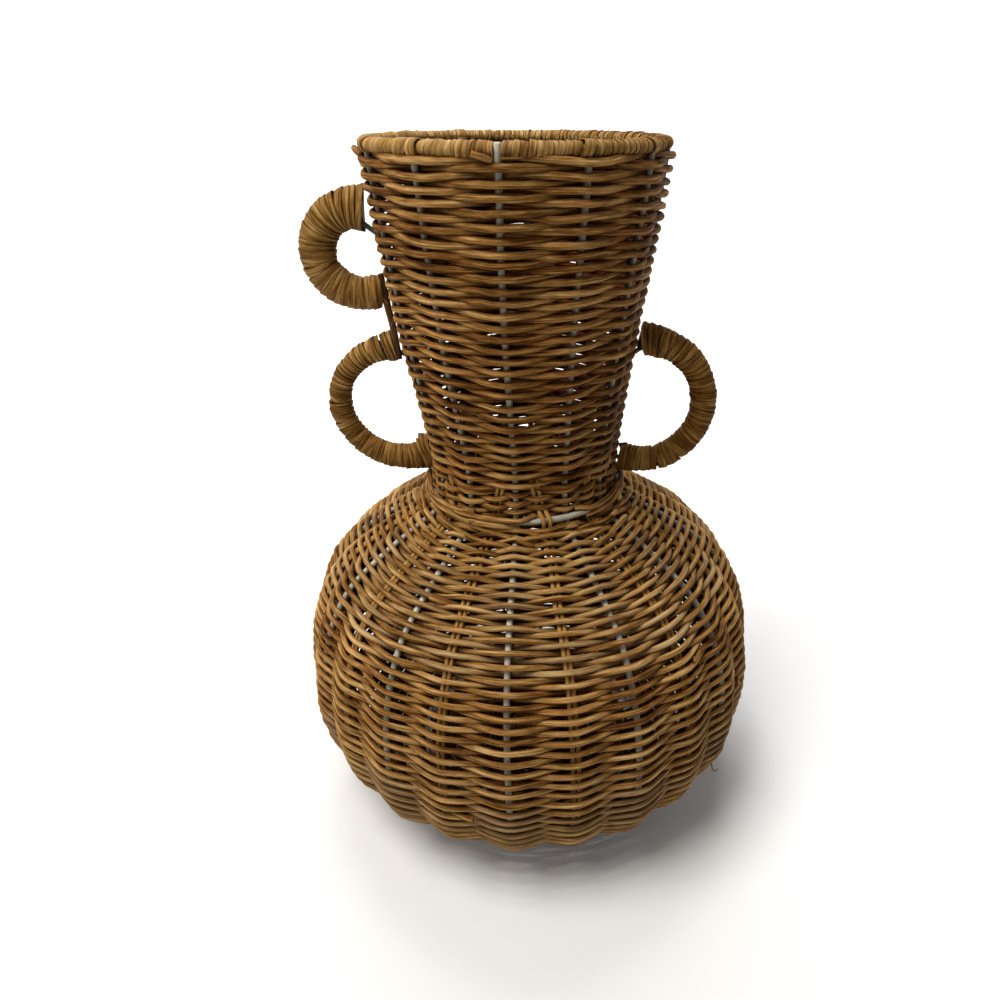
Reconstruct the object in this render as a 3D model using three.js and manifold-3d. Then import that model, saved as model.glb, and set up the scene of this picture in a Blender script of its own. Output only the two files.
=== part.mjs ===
// Rattan vase: a welded wire frame (ribs and rings), rattan stakes, woven walls
// that the ribs and stakes run through, a peel-wrapped rim and three wrapped handles.
// Millimetres, +Z up, origin at the centre of the base on the surface it stands on.
import * as THREE from 'three';
import { mergeVertices } from 'three/addons/utils/BufferGeometryUtils.js';
import Module from 'manifold-3d';

// ---------------------------------------------------------------- dimensions
const RIB_COUNT = 12;             // upright wires, evenly spaced
const RIB_FIRST_DEG = -5.5;       // bearing of the first rib, 0 = front (-Y), + towards +X
const STEP_DEG = 360 / RIB_COUNT;
const WIRE_R = 1.65;              // frame wire, 3.3 mm
const STAKE_R = 1.1;              // thin rattan stake, 2.2 mm
const STAKE_PITCH = 2.7;          // centre to centre of the two stakes of a pair
const WALL = 9.5;                 // woven wall: core outside + rib + core inside
const GAP = 0.4;                  // clearance between touching pieces
const SEG = 24;                   // facets round the body, one at every rib and stake pair

// centre line of the woven wall, from the rim to the middle of the base [radius, z]
const LINE = [
  [67.3, 351.0], [47.6, 220.0], [45.2, 200.0], [45.3, 191.0], [46.6, 183.2],
  [50.0, 176.9], [57.5, 172.2], [79.0, 159.2], [101.5, 142.0], [114.2, 120.5],
  [121.0, 94.0], [121.9, 66.0], [116.8, 44.0], [105.0, 28.0], [86.0, 14.0],
  [69.5, 6.1], [62.0, 4.9], [16.0, 4.9],
];
const NECK_TOP_Z = 344.2;
const NECK_FOOT_Z = 185.7;
const SHOULDER_TOP_Z = 179.95;    // start of the shoulder weave on the centre line
const STAKE_TOP_Z = 201.0;        // stakes are pushed up into the foot of the neck
const STAKE_END = [71.5, 6.96];   // and stop beside the base ring

const RIM_RING_R = 63.3;          // wire ring inside the rim wrap
const RIM_Z = 348.5;
const RIM_WRAP = { r: 64.85, a: 4.05, b: 3.5 };   // wrapped rim section
const SHOULDER_RING = [50.05, 183.25];
const BASE_RING = [66.9, 9.35];
const BASE_R = 64.0;              // woven base disc
const BASE_H = 9.7;

// handles: loops in the plane of the ribs at the two sides [radius, z]
const LEFT_DEG = RIB_FIRST_DEG - 90;
const RIGHT_DEG = RIB_FIRST_DEG + 90;
const HANDLES = {
  left_upper_handle: {
    deg: LEFT_DEG, thick: 18.4, depth: 15.4,
    wrap: [[73.4, 322.8], [78.4, 322.3], [83.9, 321.0], [90.6, 316.9], [95.5, 309.8], [97.0, 302.0], [96.0, 295.0], [91.9, 289.2], [86.0, 285.0], [78.0, 282.9], [69.3, 283.3]],
    core: [['rib', 309.4], [73.4, 317.4], [78.4, 320.6], [83.9, 320.6], [90.6, 316.7], [95.5, 309.8], [97.0, 302.0], [96.0, 295.0], [91.9, 289.2], [86.0, 285.0], [78.0, 282.9], [69.3, 283.3], ['rib', 283.6]],
  },
  left_lower_handle: {
    deg: LEFT_DEG, thick: 13.4, depth: 12.0,
    wrap: [[66.9, 256.8], [72.6, 255.0], [79.4, 252.2], [86.6, 247.0], [92.8, 239.5], [95.9, 230.0], [95.8, 220.0], [91.6, 210.3], [84.4, 202.2], [74.8, 197.0], [64.0, 195.4], [51.7, 196.0]],
    core: [['rib', 250.6], [66.9, 254.8], [72.6, 254.6], [79.4, 252.2], [86.6, 247.0], [92.8, 239.5], [95.9, 230.0], [95.8, 220.0], [91.6, 210.3], [84.4, 202.2], [74.8, 197.0], [64.0, 195.4], [51.7, 196.0], ['rib', 196.6]],
  },
  right_handle: {
    deg: RIGHT_DEG, thick: 14.4, depth: 12.6,
    wrap: [[63.2, 259.6], [68.2, 258.2], [75.6, 255.4], [82.6, 250.2], [88.0, 243.0], [91.4, 233.5], [91.7, 222.5], [88.3, 212.2], [81.4, 203.4], [72.6, 197.3], [63.0, 195.5], [51.7, 196.0]],
    core: [['rib', 252.8], [63.2, 257.4], [68.2, 257.6], [75.6, 255.2], [82.6, 250.2], [88.0, 243.0], [91.4, 233.5], [91.7, 222.5], [88.3, 212.2], [81.4, 203.4], [72.6, 197.3], [63.0, 195.5], [51.7, 196.0], ['rib', 196.6]],
  },
};
const STRUT_R = 1.5;
const STRUT_OFFSET = 3.5;         // beside the handle wires, towards the front
const STRUT = [[67.2, 290.5], [66.4, 276.0], [64.6, 268.0], [62.2, 251.5]];

// ---------------------------------------------------------------- materials
const wireMat = new THREE.MeshStandardMaterial({ color: 0xb9b3a2, roughness: 0.45, metalness: 0.3 });
const stakeMat = new THREE.MeshStandardMaterial({ color: 0xa87538, roughness: 0.6, metalness: 0 });
const weaveMat = new THREE.MeshStandardMaterial({ color: 0x9a6b33, roughness: 0.62, metalness: 0 });
const peelMat = new THREE.MeshStandardMaterial({ color: 0xa47c40, roughness: 0.5, metalness: 0 });

// ---------------------------------------------------------------- helpers
const wasm = await Module();
wasm.setup();
const rad = (d) => (d * Math.PI) / 180;

// a path through given stations, in the plane y = const, straight between them
class StationCurve extends THREE.Curve {
  constructor(points, y = 0) {
    super();
    this.pts = points.map(([r, z]) => new THREE.Vector3(r, y, z));
  }
  getPoint(t, target = new THREE.Vector3()) {
    const n = this.pts.length - 1;
    const x = Math.min(Math.max(t * n, 0), n);
    const i = Math.min(Math.floor(x + 1e-9), n - 1);
    return target.copy(this.pts[i]).lerp(this.pts[i + 1], x - i);
  }
  getPointAt(u, target) { return this.getPoint(u, target); }
  getTangentAt(u, target = new THREE.Vector3()) {
    const n = this.pts.length - 1;
    const i = Math.round(u * n);
    const a = new THREE.Vector3();
    if (i > 0) a.add(this.pts[i].clone().sub(this.pts[i - 1]).normalize());
    if (i < n) a.add(this.pts[i + 1].clone().sub(this.pts[i]).normalize());
    return target.copy(a.normalize());
  }
}

// a bar of a many-sided section along stations; a = half width across the plane, b = in the plane
function bar(stations, sides, a, b = a, y = 0, turn = 0.5) {
  const shape = new THREE.Shape();
  for (let k = 0; k < sides; k++) {
    const t = ((k + turn) / sides) * Math.PI * 2;
    const px = Math.cos(t) * a, py = Math.sin(t) * b;
    if (k === 0) shape.moveTo(px, py); else shape.lineTo(px, py);
  }
  shape.closePath();
  return new THREE.ExtrudeGeometry(shape, {
    steps: stations.length - 1, bevelEnabled: false, extrudePath: new StationCurve(stations, y),
  });
}

// a ring or shell of revolution from a closed profile [radius, z]
function revolve(profile) {
  const pts = profile.map(([r, z]) => new THREE.Vector2(r, z));
  if (pts[0].x > 0.001) pts.push(pts[0].clone());
  const g = new THREE.LatheGeometry(pts, SEG, rad(RIB_FIRST_DEG), Math.PI * 2);
  g.rotateX(Math.PI / 2);
  return g;
}

function turned(geometry, deg) {            // local x (radius) to a bearing round the vase
  return geometry.clone().rotateZ(rad(deg - 90));
}

function clean(geometry) {
  const g = geometry.clone();
  for (const k of Object.keys(g.attributes)) if (k !== 'position') g.deleteAttribute(k);
  const m = mergeVertices(g, 1e-3);
  const p = m.attributes.position, src = m.index.array, tri = [];
  let vol = 0;
  const a = new THREE.Vector3(), b = new THREE.Vector3(), c = new THREE.Vector3();
  for (let i = 0; i < src.length; i += 3) {
    const [i0, i1, i2] = [src[i], src[i + 1], src[i + 2]];
    if (i0 === i1 || i1 === i2 || i0 === i2) continue;
    a.fromBufferAttribute(p, i0); b.fromBufferAttribute(p, i1); c.fromBufferAttribute(p, i2);
    vol += a.dot(b.cross(c));
    tri.push(i0, i1, i2);
  }
  if (vol < 0) for (let i = 0; i < tri.length; i += 3) [tri[i + 1], tri[i + 2]] = [tri[i + 2], tri[i + 1]];
  m.setIndex(tri);
  return m;
}
function solid(geometry) {
  const m = clean(geometry);
  return new wasm.Manifold(new wasm.Mesh({
    numProp: 3,
    vertProperties: new Float32Array(m.attributes.position.array),
    triVerts: new Uint32Array(m.index.array),
  }));
}
function back(manifold) {
  const mesh = manifold.getMesh();
  const g = new THREE.BufferGeometry();
  g.setAttribute('position', new THREE.BufferAttribute(new Float32Array(mesh.vertProperties), 3));
  g.setIndex(new THREE.BufferAttribute(new Uint32Array(mesh.triVerts), 1));
  g.computeVertexNormals();
  return g;
}

const vase = new THREE.Group();
function add(name, geometry, material, deg = null) {
  const mesh = new THREE.Mesh(geometry, material);
  mesh.name = name;
  if (deg !== null) mesh.rotation.z = rad(deg - 90);
  vase.add(mesh);
}
const two = (n) => String(n).padStart(2, '0');

// ---------------------------------------------------------------- the wall's centre line
const seg = (i) => {
  const [r0, z0] = LINE[i], [r1, z1] = LINE[i + 1];
  const l = Math.hypot(r1 - r0, z1 - z0);
  return [(r1 - r0) / l, (z1 - z0) / l];
};
function normalAt(i) {                       // outward normal at a station
  const t = [0, 0];
  if (i > 0) { const s = seg(i - 1); t[0] += s[0]; t[1] += s[1]; }
  if (i < LINE.length - 1) { const s = seg(i); t[0] += s[0]; t[1] += s[1]; }
  const l = Math.hypot(t[0], t[1]);
  return [-t[1] / l, t[0] / l];
}
// stations from one place on the line to another; a place is [station index + fraction]
function place(f) {
  const i = Math.min(Math.floor(f), LINE.length - 2), u = f - i;
  const p = [LINE[i][0] + (LINE[i + 1][0] - LINE[i][0]) * u, LINE[i][1] + (LINE[i + 1][1] - LINE[i][1]) * u];
  const s = seg(i);
  return { p, n: u < 1e-6 ? normalAt(i) : [-s[1], s[0]] };
}
function stretch(f0, f1) {
  const out = [place(f0)];
  for (let i = Math.floor(f0) + 1; i < f1 - 1e-6; i++) out.push({ p: LINE[i], n: normalAt(i) });
  out.push(place(f1));
  return out;
}
function indexAtZ(z, from = 0) {              // along the neck, where z falls steadily
  let i = from;
  while (LINE[i + 1][1] > z) i++;
  return i + (LINE[i][1] - z) / (LINE[i][1] - LINE[i + 1][1]);
}
function band(f0, f1) {
  const s = stretch(f0, f1);
  const outer = s.map(({ p, n }) => [p[0] + n[0] * WALL / 2, p[1] + n[1] * WALL / 2]);
  const inner = s.map(({ p, n }) => [p[0] - n[0] * WALL / 2, p[1] - n[1] * WALL / 2]).reverse();
  return revolve([...outer, ...inner]);
}
const ribRadiusAt = (z) => place(indexAtZ(z)).p[0];

// ---------------------------------------------------------------- frame wires
for (let k = 0; k < RIB_COUNT; k++) {
  add(`wire_rib_${two(k + 1)}`, clean(bar(LINE, 5, WIRE_R)), wireMat, RIB_FIRST_DEG + STEP_DEG * k);
}
function ring([r, z], wire, sides = 6) {
  const prof = [];
  for (let k = 0; k < sides; k++) {
    const t = (k / sides) * Math.PI * 2;
    prof.push([r + Math.cos(t) * wire, z + Math.sin(t) * wire]);
  }
  return revolve(prof);
}
add('rim_ring', clean(ring([RIM_RING_R, RIM_Z], WIRE_R)), wireMat);
add('shoulder_ring', clean(ring(SHOULDER_RING, WIRE_R)), wireMat);
add('base_ring', clean(ring(BASE_RING, WIRE_R)), wireMat);

// ---------------------------------------------------------------- rattan stakes, in pairs
const stakeTop = indexAtZ(STAKE_TOP_Z);
const stakeLine = [place(stakeTop).p, ...[4, 5, 6, 7, 8, 9, 10, 11, 12, 13, 14].map((i) => LINE[i]), STAKE_END];
for (let k = 0; k < RIB_COUNT; k++) {
  const deg = RIB_FIRST_DEG + STEP_DEG * (k + 0.5);
  for (const [tag, side] of [['a', 1], ['b', -1]]) {
    add(`rattan_stake_${two(k + 1)}${tag}`,
      clean(bar(stakeLine, 4, STAKE_R * 1.12, STAKE_R * 1.12, side * STAKE_PITCH / 2)), stakeMat, deg);
  }
}

// ---------------------------------------------------------------- tunnels the ribs and stakes run in
function lengthened(pts, d) {
  const out = pts.map((p) => p.slice());
  const push = (a, b) => {
    const l = Math.hypot(a[0] - b[0], a[1] - b[1]);
    return [a[0] + ((a[0] - b[0]) / l) * d, a[1] + ((a[1] - b[1]) / l) * d];
  };
  out[0] = push(pts[0], pts[1]);
  out[out.length - 1] = push(pts[pts.length - 1], pts[pts.length - 2]);
  return out;
}
const half = (w) => w * Math.SQRT2;           // corner radius of a square of half width w
const ribTunnel = bar(lengthened(LINE, 0.5), 4, half(WIRE_R + GAP));
const pairTunnel = bar(lengthened(stakeLine, 0.5), 4, half(STAKE_PITCH / 2 + STAKE_R + GAP), half(STAKE_R + GAP));
const ribTunnels = [], pairTunnels = [];
for (let k = 0; k < RIB_COUNT; k++) {
  ribTunnels.push(solid(turned(ribTunnel, RIB_FIRST_DEG + STEP_DEG * k)));
  pairTunnels.push(solid(turned(pairTunnel, RIB_FIRST_DEG + STEP_DEG * (k + 0.5))));
}
const cut = (body, list) => list.reduce((m, t) => m.subtract(t), body);

// ---------------------------------------------------------------- handles
const handleTunnels = [];
for (const [name, h] of Object.entries(HANDLES)) {
  const core = h.core.map(([r, z]) => (r === 'rib' ? [ribRadiusAt(z) + WIRE_R + 1.3, z] : [r, z]));
  add(`${name}_core`, clean(bar(core, 6, WIRE_R)), wireMat, h.deg);
  const tunnel = solid(turned(bar(lengthened(core, 0.5), 4, half(WIRE_R + GAP)), h.deg));
  handleTunnels.push(tunnel);
  const wrap = solid(turned(bar(h.wrap, 10, h.depth / 2, h.thick / 2), h.deg));
  add(`${name}_wrap`, back(wrap.subtract(tunnel)), peelMat);
}
add('left_handle_strut', clean(bar(STRUT, 6, STRUT_R, STRUT_R, STRUT_OFFSET)), wireMat, LEFT_DEG);

// ---------------------------------------------------------------- woven walls
const fShoulder = indexAtZ(SHOULDER_TOP_Z, 4);
const step = (i, d) => d / Math.hypot(LINE[i + 1][0] - LINE[i][0], LINE[i + 1][1] - LINE[i][1]);
add('neck_weave', back(cut(cut(cut(solid(band(indexAtZ(NECK_TOP_Z), indexAtZ(NECK_FOOT_Z))), ribTunnels), pairTunnels), handleTunnels)), weaveMat);
add('shoulder_weave', back(cut(cut(solid(band(fShoulder, 9.5)), ribTunnels), pairTunnels)), weaveMat);
add('belly_weave', back(cut(cut(solid(band(9.5 + step(9, GAP), 12.5)), ribTunnels), pairTunnels)), weaveMat);
add('foot_weave', back(cut(cut(solid(band(12.5 + step(12, GAP), 15 - step(14, 0.6))), ribTunnels), pairTunnels)), weaveMat);
const base = revolve([[0, 0], [BASE_R - 2.5, 0], [BASE_R, 2.0], [BASE_R - 0.8, BASE_H], [0, BASE_H]]);
add('base_weave', back(cut(solid(base), ribTunnels)), weaveMat);

// ---------------------------------------------------------------- wrapped rim, open beside every rib top
const rimProfile = [];
for (let k = 0; k < 8; k++) {
  const t = ((k + 0.5) / 8) * Math.PI * 2, s = 1 / Math.cos(Math.PI / 8);
  rimProfile.push([RIM_WRAP.r + Math.cos(t) * RIM_WRAP.a * s, RIM_Z + Math.sin(t) * RIM_WRAP.b * s]);
}
let rim = solid(revolve(rimProfile)).subtract(solid(ring([RIM_RING_R, RIM_Z], (WIRE_R + 0.35) / Math.cos(Math.PI / 6))));
const notch = new THREE.BoxGeometry(8, 2 * (WIRE_R + GAP), 10).translate(64.4 + 4, 0, RIM_Z);
for (let k = 0; k < RIB_COUNT; k++) rim = rim.subtract(solid(turned(notch, RIB_FIRST_DEG + STEP_DEG * k)));
add('rim_wrap', back(rim), peelMat);

export default vase;
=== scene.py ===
"""Rattan vase: the looks. A welded wire frame, rattan stakes, real over-and-under weavers,
a peel-wound rim and three peel-wound handles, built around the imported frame."""
import math

import bpy
import numpy as np
from mathutils import Matrix, Vector


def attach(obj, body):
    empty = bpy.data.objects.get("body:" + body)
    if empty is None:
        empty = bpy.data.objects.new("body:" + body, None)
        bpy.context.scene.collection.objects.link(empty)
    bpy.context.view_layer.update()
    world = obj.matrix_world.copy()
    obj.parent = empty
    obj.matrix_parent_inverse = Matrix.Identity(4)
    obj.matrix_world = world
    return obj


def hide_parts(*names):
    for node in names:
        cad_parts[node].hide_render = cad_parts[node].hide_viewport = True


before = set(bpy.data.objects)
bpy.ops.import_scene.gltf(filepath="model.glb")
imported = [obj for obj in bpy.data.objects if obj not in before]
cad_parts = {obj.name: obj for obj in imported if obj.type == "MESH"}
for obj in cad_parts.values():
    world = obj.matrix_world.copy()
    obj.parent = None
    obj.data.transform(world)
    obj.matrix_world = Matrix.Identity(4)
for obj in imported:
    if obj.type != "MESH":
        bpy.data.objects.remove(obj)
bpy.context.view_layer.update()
rng = np.random.default_rng(20261126)
MM = 0.001

# ------------------------------------------------------------------ the wall's centre line
# the frame's stations (radius, z) in mm, rounded into one smooth line, the neck a touch fuller as the weave sits on it
LINE = np.array([
    [67.3, 351.0], [66.05, 338.0], [56.15, 268.0], [48.4, 220.0], [46.0, 200.0], [45.9, 191.0], [46.8, 183.2],
    [50.0, 176.9], [57.5, 172.2], [79.0, 159.2], [101.5, 142.0], [114.2, 120.5],
    [121.0, 94.0], [121.9, 66.0], [116.8, 44.0], [105.4, 27.6], [86.6, 13.5],
    [69.5, 6.1], [62.0, 4.9], [16.0, 4.9]], float)
WIRE_R = 1.55
STAKE_R = 1.1
STAKE_PITCH = 2.7
RIB_FIRST = -5.5
RIB_STEP = 30.0


def catmull(pts, per=24):
    """A centripetal Catmull-Rom line through pts."""
    p = np.vstack([2 * pts[0] - pts[1], pts, 2 * pts[-1] - pts[-2]])
    out = []
    for i in range(1, len(p) - 2):
        p0, p1, p2, p3 = p[i - 1], p[i], p[i + 1], p[i + 2]
        t0 = 0.0
        t1 = t0 + max(np.linalg.norm(p1 - p0), 1e-9) ** 0.5
        t2 = t1 + max(np.linalg.norm(p2 - p1), 1e-9) ** 0.5
        t3 = t2 + max(np.linalg.norm(p3 - p2), 1e-9) ** 0.5
        t = np.linspace(t1, t2, per, endpoint=False)[:, None]
        a1 = (t1 - t) / (t1 - t0) * p0 + (t - t0) / (t1 - t0) * p1
        a2 = (t2 - t) / (t2 - t1) * p1 + (t - t1) / (t2 - t1) * p2
        a3 = (t3 - t) / (t3 - t2) * p2 + (t - t2) / (t3 - t2) * p3
        b1 = (t2 - t) / (t2 - t0) * a1 + (t - t0) / (t2 - t0) * a2
        b2 = (t3 - t) / (t3 - t1) * a2 + (t - t1) / (t3 - t1) * a3
        out.append((t2 - t) / (t2 - t1) * b1 + (t - t1) / (t2 - t1) * b2)
    out.append(pts[-1][None, :])
    return np.vstack(out)


_fine = catmull(LINE)
_d = np.r_[0, np.cumsum(np.hypot(*np.diff(_fine, axis=0).T))]
WALL_LEN = float(_d[-1])
_s = np.linspace(0, WALL_LEN, 2400)
_r = np.interp(_s, _d, _fine[:, 0])
_z = np.interp(_s, _d, _fine[:, 1])
_k = np.ones(31) / 31


def _smooth(a):
    return np.convolve(np.pad(a, 15, mode="reflect", reflect_type="odd"), _k, "valid")


_r, _z = _smooth(_r), _smooth(_z)
_tr, _tz = np.gradient(_r, _s), np.gradient(_z, _s)
_l = np.hypot(_tr, _tz)
_tr, _tz = _tr / _l, _tz / _l


def wall(s):
    """Radius, z, outward normal (nr, nz) and tangent of the wall's centre line at arc length s (mm from the rib tops)."""
    r, z = np.interp(s, _s, _r), np.interp(s, _s, _z)
    tr, tz = np.interp(s, _s, _tr), np.interp(s, _s, _tz)
    l = np.hypot(tr, tz)
    tr, tz = tr / l, tz / l
    return r, z, -tz, tr


def s_at_z(z):
    """Arc length where the line first comes down to z."""
    return float(_s[np.argmax(_z <= z)])


def s_at_r_base(r):
    """Arc length on the underside where the radius comes in to r."""
    low = _z < 30
    i = np.where(low & (_r <= r))[0][0]
    return float(_s[i])


# the neck isn't quite straight: it bows to the left by a millimetre half way up
BOW = ([0, 205, 228, 248, 271, 300, 330, 353], [0.0, 0.0, -0.4, -1.0, -1.3, -1.0, -0.2, 0.0])


TILT = 0.0265            # the neck's rounds dip to the right by this slope at the mouth, level at its foot


def at(theta, r, z):
    """Bearing in degrees (0 = front, + to the right), radius and z to a point."""
    t = np.radians(theta)
    x = r * np.sin(t)
    return np.stack([x + np.interp(z, *BOW), -r * np.cos(t), z - TILT * x * np.clip((z - 195.0) / 153.0, 0, 1)], -1)


# ------------------------------------------------------------------ mesh building
class Strands:
    """Collects many closed strands into one mesh, with strand coordinates in mm, a packed map and per-point tints:
    tone, hue and an amount of painted shade.
    """

    def __init__(self):
        self.v, self.tint, self.runs = [], [], []
        self.n = 0

    def rings(self, body, along, vv, tint, ends):
        """body (m, p, 3) mm: m closed sections of p points; along (m,), vv (p + 1,): coordinates in mm;
        tint (m, p, 3); ends: the two middle points of the end faces."""
        m, p = body.shape[:2]
        base = self.n
        V = np.concatenate([body.reshape(-1, 3), np.asarray(ends, float)], 0)
        i, k = np.arange(m - 1)[:, None], np.arange(p)[None, :]
        k1 = (k + 1) % p
        quads = np.stack([i * p + k, i * p + k1, (i + 1) * p + k1, (i + 1) * p + k], -1).reshape(-1, 4) + base
        kk = np.arange(p)
        kk1 = (kk + 1) % p
        cap0 = np.stack([np.full(p, base + m * p), base + kk1, base + kk], -1)
        cap1 = np.stack([np.full(p, base + m * p + 1), base + (m - 1) * p + kk, base + (m - 1) * p + kk1], -1)
        u0, u1 = (np.broadcast_to(x[:, None], (m - 1, p)) for x in (along[:-1], along[1:]))
        v0, v1 = (np.broadcast_to(x[None, :], (m - 1, p)) for x in (vv[:-1], vv[1:]))
        uq = np.stack([np.stack([u0, v0], -1), np.stack([u0, v1], -1), np.stack([u1, v1], -1), np.stack([u1, v0], -1)], 2)
        tv = np.ones((len(V), 4))
        tv[:m * p, :3] = tint.reshape(-1, 3)
        tv[m * p, :3], tv[m * p + 1, :3] = tint[0].mean(0), tint[-1].mean(0)
        self.v.append(V)
        self.tint.append(tv)
        self.runs.append(dict(quads=quads, caps=(cap0, cap1), uq=uq.reshape(-1, 4, 2), m=m, p=p,
                              length=float(along[-1] - along[0]), circ=float(vv[-1]), along=along, vv=vv))
        self.n += len(V)

    def tube(self, pts, radius, lean_to, sides=8, tint=(0.5, 0.5, 0.0), u0=0.0, squash=1.0, tip=None, far_side_shade=0.0):
        """A round strand along pts (n, 3) mm; lean_to: a direction for the section's first axis;
        squash: the section's size along it; tip: the radius ratios of the two softened ends;
        far_side_shade: how much painted shade darkens the section's far side, away from lean_to; its near side is
        painted a little lighter."""
        pts = np.asarray(pts, float)
        n = len(pts)
        rad = np.broadcast_to(np.asarray(radius, float), (n,))
        tang = np.gradient(pts, axis=0)
        tang /= np.linalg.norm(tang, axis=1)[:, None] + 1e-12
        ref = np.broadcast_to(np.asarray(lean_to, float), (n, 3))
        nrm = ref - (ref * tang).sum(1)[:, None] * tang
        nrm /= np.linalg.norm(nrm, axis=1)[:, None] + 1e-12
        bi = np.cross(tang, nrm)
        phi = np.arange(sides) / sides * 2 * np.pi
        sq = np.broadcast_to(np.asarray(squash, float), (n,))[:, None, None]
        ring = np.cos(phi)[None, :, None] * nrm[:, None, :] * sq + np.sin(phi)[None, :, None] * bi[:, None, :]
        body = pts[:, None, :] + ring * rad[:, None, None]
        tip = (0.82, 0.82) if tip is None else tip
        e0, e1 = pts[0] - tang[0] * 0.2 * rad[0], pts[-1] + tang[-1] * 0.2 * rad[-1]
        body = np.concatenate([(e0 + ring[0] * rad[0] * tip[0])[None], body, (e1 + ring[-1] * rad[-1] * tip[1])[None]], 0)
        along = u0 + np.r_[0, np.cumsum(np.linalg.norm(np.diff(pts, axis=0), axis=1))]
        along = np.r_[along[0] - 0.2, along, along[-1] + 0.2]
        T = np.broadcast_to(np.asarray(tint, float), (n, 3))
        T = np.concatenate([T[:1], T, T[-1:]], 0)
        T = np.broadcast_to(T[:, None, :], (n + 2, sides, 3)).copy()
        # painted shade on the section's far side, and a little painted light on its near side
        if far_side_shade > 0:
            T[..., 2] = np.clip(T[..., 2] + far_side_shade * (0.5 - 0.5 * np.cos(phi)) ** 1.2, 0, 1)
            T[..., 0] = np.clip(T[..., 0] + 0.07 * np.cos(phi), 0, 1)
        vv = np.arange(sides + 1) / sides * 2 * np.pi * max(float(rad.mean()), 0.05)
        self.rings(body, along, vv, T, (e0, e1))

    def build(self, name, material):
        runs = self.runs
        # packed map: every strand is a strip, cut into pieces of about equal length, stacked
        side = math.sqrt(sum(r["length"] * r["circ"] for r in runs) * 1.12)
        strips = []
        for ri, r in enumerate(runs):
            pieces = max(1, int(round(r["length"] / side)))
            cuts = np.linspace(0, r["m"] - 1, pieces + 1).round().astype(int)
            strips += [(ri, int(a), int(b)) for a, b in zip(cuts[:-1], cuts[1:]) if b > a]
        pad = 0.30 * np.mean([r["circ"] for r in runs])
        height = sum(runs[ri]["circ"] + pad for ri, a, b in strips)
        longest = max(runs[ri]["along"][b] - runs[ri]["along"][a] for ri, a, b in strips)
        packed = [np.zeros((len(r["quads"]), 4, 2)) for r in runs]
        spot = {ri: [None, None] for ri in range(len(runs))}
        y = pad * 0.5
        for ri, a, b in strips:
            r = runs[ri]
            q = np.arange(a * r["p"], b * r["p"])
            packed[ri][q, :, 0] = (r["uq"][q, :, 0] - r["along"][a]) / longest * 0.985 + 0.0075
            packed[ri][q, :, 1] = (y + r["uq"][q, :, 1]) / height
            if a == 0:
                spot[ri][0] = (0.0075, y / height)
            if b == r["m"] - 1:
                spot[ri][1] = ((r["along"][b] - r["along"][a]) / longest * 0.985 + 0.0075, y / height)
            y += r["circ"] + pad
        faces, counts, strand_uv, bake_uv = [], [], [], []
        for ri, r in enumerate(runs):
            faces.append(r["quads"].ravel())
            counts.append(np.full(len(r["quads"]), 4))
            strand_uv.append(r["uq"].reshape(-1, 2))
            bake_uv.append(packed[ri].reshape(-1, 2))
            p, vv = r["p"], r["vv"]
            for ci, sg in ((0, -1.0), (1, 1.0)):
                faces.append(r["caps"][ci].ravel())
                counts.append(np.full(p, 3))
                va, vb = (vv[1:], vv[:-1]) if ci == 0 else (vv[:-1], vv[1:])
                ua = r["along"][0 if ci == 0 else -1]
                x0, y0 = spot[ri][ci]
                for out, u, du, f, o in ((strand_uv, ua, 0.3, 1.0, 0.0), (bake_uv, x0, 0.0045, 1.0 / height, y0)):
                    out.append(np.stack([np.stack([np.full(p, u + sg * du), o + (va + vb) / 2 * f], -1),
                                         np.stack([np.full(p, u), o + va * f], -1),
                                         np.stack([np.full(p, u), o + vb * f], -1)], 1).reshape(-1, 2))
        return make_mesh(name, np.concatenate(self.v, 0) * MM, np.concatenate(faces), np.concatenate(counts),
                         np.concatenate(strand_uv), np.concatenate(bake_uv), np.concatenate(self.tint, 0), material)


def make_mesh(name, V, loops, counts, strand_uv, bake_uv, tint, material):
    starts = np.r_[0, np.cumsum(counts)[:-1]].astype(np.int64)
    # turn the faces outwards
    o = V.mean(0)
    vol = 0.0
    for k in range(1, int(counts.max()) - 1):
        ok = counts > k + 1
        a, b, c = (V[loops[starts[ok] + d]] - o for d in (0, k, k + 1))
        vol += float(np.einsum("ij,ij->", a, np.cross(b, c)))
    if vol < 0:
        pid = np.repeat(np.arange(len(counts)), counts)
        rev = starts[pid] + counts[pid] - 1 - (np.arange(len(loops)) - starts[pid])
        loops, strand_uv, bake_uv = loops[rev], strand_uv[rev], bake_uv[rev]
    me = bpy.data.meshes.new(name)
    me.vertices.add(len(V))
    me.vertices.foreach_set("co", np.asarray(V, np.float32).ravel())
    me.loops.add(len(loops))
    me.loops.foreach_set("vertex_index", np.asarray(loops, np.int32))
    me.polygons.add(len(counts))
    me.polygons.foreach_set("loop_start", starts.astype(np.int32))
    me.polygons.foreach_set("loop_total", np.asarray(counts, np.int32))
    me.polygons.foreach_set("use_smooth", np.ones(len(counts), bool))
    me.update(calc_edges=True)
    for layer, uv in (("Strand", strand_uv), ("OFBake", bake_uv)):
        me.uv_layers.new(name=layer).data.foreach_set("uv", np.asarray(uv, np.float32).ravel())
    me.uv_layers.active = me.uv_layers["Strand"]
    me.attributes.new("Tint", "FLOAT_COLOR", "POINT").data.foreach_set("color", np.asarray(tint, np.float32).ravel())
    me.validate(verbose=False)
    me.materials.append(material)
    ob = bpy.data.objects.new(name, me)
    bpy.context.scene.collection.objects.link(ob)
    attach(ob, "root")
    return ob


def piece(strands, name, material, slot, *nodes):
    ob = strands.build(name, material)
    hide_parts(*nodes)
    return ob


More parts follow.
